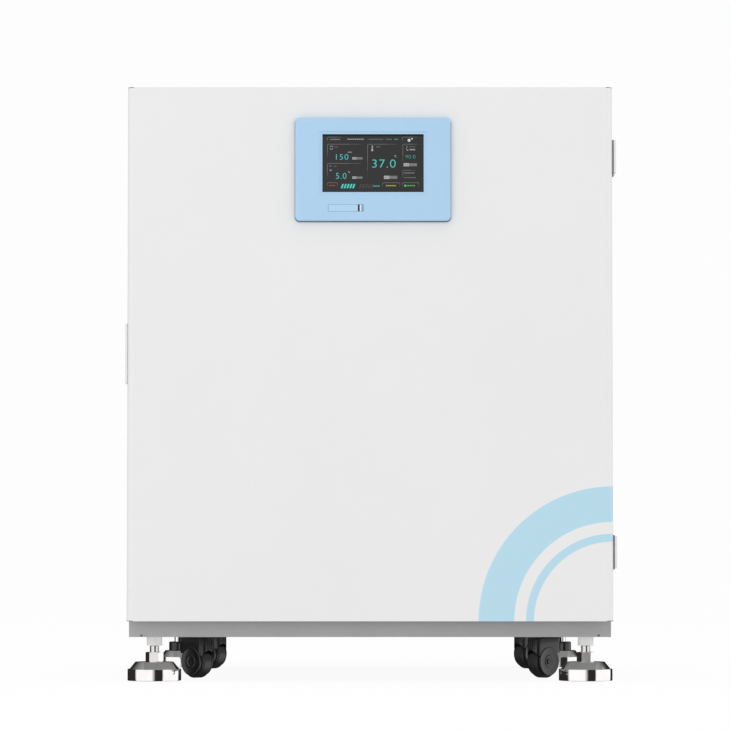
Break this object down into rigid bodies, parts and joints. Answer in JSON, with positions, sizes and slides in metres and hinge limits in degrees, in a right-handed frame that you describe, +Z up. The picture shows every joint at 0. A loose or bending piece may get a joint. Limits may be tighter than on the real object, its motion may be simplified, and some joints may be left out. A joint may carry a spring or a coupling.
{
  "type": "incubator shaker cabinet",
  "caption": "Floor-standing incubator shaker cabinet with a right-hinged door, blue touch control panel, orbital platform inside, levelling feet and swivel casters.",
  "frame": {"origin": "on the floor, under the middle of the whole object's box", "axes": "+X to the right as seen from the front, +Y to the back, +Z up"},
  "size_m": [0.752, 0.8534, 0.908],
  "materials": {
    "door_white": "satin",
    "case_white": "satin",
    "plinth_grey": "satin",
    "stainless": "satin",
    "bright_steel": "satin",
    "hinge_steel": "satin",
    "heater_steel": "satin",
    "frame_grey": "matte",
    "cast_iron": "matte",
    "pulley_alu": "satin",
    "platform_alu": "satin",
    "motor_black": "satin",
    "belt_rubber": "matte",
    "gasket_rubber": "matte",
    "fan_plastic": "matte",
    "board_green": "satin",
    "fitting_brass": "satin",
    "valve_grey": "satin",
    "socket_black": "satin",
    "rocker_black": "gloss",
    "cap_grey": "satin",
    "foam_core": "matte",
    "fibre_slab": "matte",
    "grip_grey": "satin",
    "panel_blue": "satin",
    "screen_dark": "gloss",
    "cover_white": "satin",
    "sleeve_zinc": "satin",
    "chrome": "polished",
    "caster_black": "gloss",
    "wheel_black": "satin"
  },
  "bodies": {
    "cabinet": {"base_plinth": "plinth_grey", "side_panels": "case_white", "top_panel": "case_white", "front_frame": "stainless", "rear_panel": "case_white", "panel_screws": "bright_steel", "chamber_liner": "stainless", "insulation_slabs": "fibre_slab", "drive_frame": "frame_grey", "bearing_housings": "cast_iron", "drive_motor": "motor_black", "drive_belt": "belt_rubber", "air_baffle": "stainless", "fan_motor": "motor_black", "heater_ring": "heater_steel", "sensor_probe": "bright_steel", "control_box": "frame_grey", "main_board": "board_green", "gas_fitting": "fitting_brass", "gas_valve": "valve_grey", "power_inlet": "socket_black", "cabinet_hinges": "hinge_steel", "foot_sleeves": "sleeve_zinc", "caster_stems": "chrome"},
    "door": {"door_skin": "door_white", "door_edge_caps": "cap_grey", "door_core": "foam_core", "door_inner_panel": "stainless", "door_gasket": "gasket_rubber", "grip_cup_strip": "grip_grey", "control_bezel": "panel_blue", "display_screen": "screen_dark", "usb_socket": "bright_steel", "door_hinge_leaves": "hinge_steel", "door_hinge_covers": "cover_white"},
    "port_cover": {"usb_cover": "panel_blue"},
    "crank": {"crank_shaft": "bright_steel", "crank_pulley": "pulley_alu", "counterweight": "cast_iron"},
    "platform": {"platform_carriage": "pulley_alu", "platform_tray": "platform_alu"},
    "motor_rotor": {"motor_pulley": "pulley_alu"},
    "fan": {"fan_wheel": "fan_plastic"},
    "pan": {"humidity_pan": "stainless"},
    "rocker": {"power_rocker": "rocker_black"},
    "idler_1": {"idler_1_crank": "bright_steel"},
    "idler_2": {"idler_2_crank": "bright_steel"},
    "idler_3": {"idler_3_crank": "bright_steel"},
    "foot_front_left": {"foot_front_left": "chrome"},
    "foot_front_right": {"foot_front_right": "chrome"},
    "foot_back_left": {"foot_back_left": "chrome"},
    "foot_back_right": {"foot_back_right": "chrome"},
    "caster_front_left_swivel": {"caster_front_left_hood": "caster_black"},
    "caster_front_left_roller": {"caster_front_left_wheel": "wheel_black"},
    "caster_front_right_swivel": {"caster_front_right_hood": "caster_black"},
    "caster_front_right_roller": {"caster_front_right_wheel": "wheel_black"},
    "caster_back_left_swivel": {"caster_back_left_hood": "caster_black"},
    "caster_back_left_roller": {"caster_back_left_wheel": "wheel_black"},
    "caster_back_right_swivel": {"caster_back_right_hood": "caster_black"},
    "caster_back_right_roller": {"caster_back_right_wheel": "wheel_black"}
  },
  "joints": [
    {"name": "door_swing", "type": "hinge", "parent": "cabinet", "child": "door", "pos_m": [0.371, -0.37225, 0.5005], "axis": [0, 0, 1], "range_deg": [0, 120]},
    {"name": "port_flip", "type": "hinge", "parent": "door", "child": "port_cover", "pos_m": [-0.0625, -0.42675, 0.7217], "axis": [0, 0, -1], "range_deg": [0, 95]},
    {"name": "crank_turn", "type": "hinge", "parent": "cabinet", "child": "crank", "pos_m": [0, -0.08125, 0.2268], "axis": [0, 0, 1], "continuous": true},
    {"name": "platform_orbit", "type": "hinge", "parent": "crank", "child": "platform", "pos_m": [0.0125, -0.08125, 0.3306], "axis": [0, 0, 1], "continuous": true},
    {"name": "idler_1_turn", "type": "hinge", "parent": "cabinet", "child": "idler_1", "pos_m": [0, 0.06825, 0.2268], "axis": [0, 0, 1], "continuous": true},
    {"name": "idler_2_turn", "type": "hinge", "parent": "cabinet", "child": "idler_2", "pos_m": [-0.12947, -0.156, 0.2268], "axis": [0, 0, 1], "continuous": true},
    {"name": "idler_3_turn", "type": "hinge", "parent": "cabinet", "child": "idler_3", "pos_m": [0.12947, -0.156, 0.2268], "axis": [0, 0, 1], "continuous": true},
    {"name": "motor_turn", "type": "hinge", "parent": "cabinet", "child": "motor_rotor", "pos_m": [0.2, -0.08125, 0.1688], "axis": [0, 0, 1], "continuous": true},
    {"name": "fan_turn", "type": "hinge", "parent": "cabinet", "child": "fan", "pos_m": [0, 0.21775, 0.668], "axis": [0, 1, 0], "continuous": true},
    {"name": "pan_lift", "type": "slide", "parent": "cabinet", "child": "pan", "axis": [0, 0, 1], "range_m": [0, 0.02]},
    {"name": "rocker_tilt", "type": "hinge", "parent": "cabinet", "child": "rocker", "pos_m": [-0.25, 0.40275, 0.188], "axis": [1, 0, 0], "range_deg": [-8, 8]},
    {"name": "foot_front_left_screw", "type": "slide", "parent": "cabinet", "child": "foot_front_left", "axis": [0, 0, 1], "range_m": [-0.01, 0.008]},
    {"name": "foot_front_right_screw", "type": "slide", "parent": "cabinet", "child": "foot_front_right", "axis": [0, 0, 1], "range_m": [-0.01, 0.008]},
    {"name": "foot_back_left_screw", "type": "slide", "parent": "cabinet", "child": "foot_back_left", "axis": [0, 0, 1], "range_m": [-0.01, 0.008]},
    {"name": "foot_back_right_screw", "type": "slide", "parent": "cabinet", "child": "foot_back_right", "axis": [0, 0, 1], "range_m": [-0.01, 0.008]},
    {"name": "caster_front_left_turn", "type": "hinge", "parent": "cabinet", "child": "caster_front_left_swivel", "pos_m": [-0.3045, -0.20625, 0.0575], "axis": [0, 0, 1], "continuous": true},
    {"name": "caster_front_left_roll", "type": "hinge", "parent": "caster_front_left_swivel", "child": "caster_front_left_roller", "pos_m": [-0.27285, -0.23681, 0.0272], "axis": [0.6947, 0.7193, 0], "continuous": true},
    {"name": "caster_front_right_turn", "type": "hinge", "parent": "cabinet", "child": "caster_front_right_swivel", "pos_m": [0.3045, -0.20625, 0.0575], "axis": [0, 0, 1], "continuous": true},
    {"name": "caster_front_right_roll", "type": "hinge", "parent": "caster_front_right_swivel", "child": "caster_front_right_roller", "pos_m": [0.27285, -0.23681, 0.0272], "axis": [0.6947, -0.7193, 0], "continuous": true},
    {"name": "caster_back_left_turn", "type": "hinge", "parent": "cabinet", "child": "caster_back_left_swivel", "pos_m": [-0.3045, 0.24375, 0.0575], "axis": [0, 0, 1], "continuous": true},
    {"name": "caster_back_left_roll", "type": "hinge", "parent": "caster_back_left_swivel", "child": "caster_back_left_roller", "pos_m": [-0.27285, 0.21319, 0.0272], "axis": [0.6947, 0.7193, 0], "continuous": true},
    {"name": "caster_back_right_turn", "type": "hinge", "parent": "cabinet", "child": "caster_back_right_swivel", "pos_m": [0.3045, 0.24375, 0.0575], "axis": [0, 0, 1], "continuous": true},
    {"name": "caster_back_right_roll", "type": "hinge", "parent": "caster_back_right_swivel", "child": "caster_back_right_roller", "pos_m": [0.27285, 0.21319, 0.0272], "axis": [0.6947, -0.7193, 0], "continuous": true}
  ],
  "couplings": [
    {"joint": "platform_orbit", "follows": "crank_turn", "ratio": -1},
    {"joint": "idler_1_turn", "follows": "crank_turn", "ratio": 1},
    {"joint": "idler_2_turn", "follows": "crank_turn", "ratio": 1},
    {"joint": "idler_3_turn", "follows": "crank_turn", "ratio": 1},
    {"joint": "motor_turn", "follows": "crank_turn", "ratio": 2.9231}
  ]
}
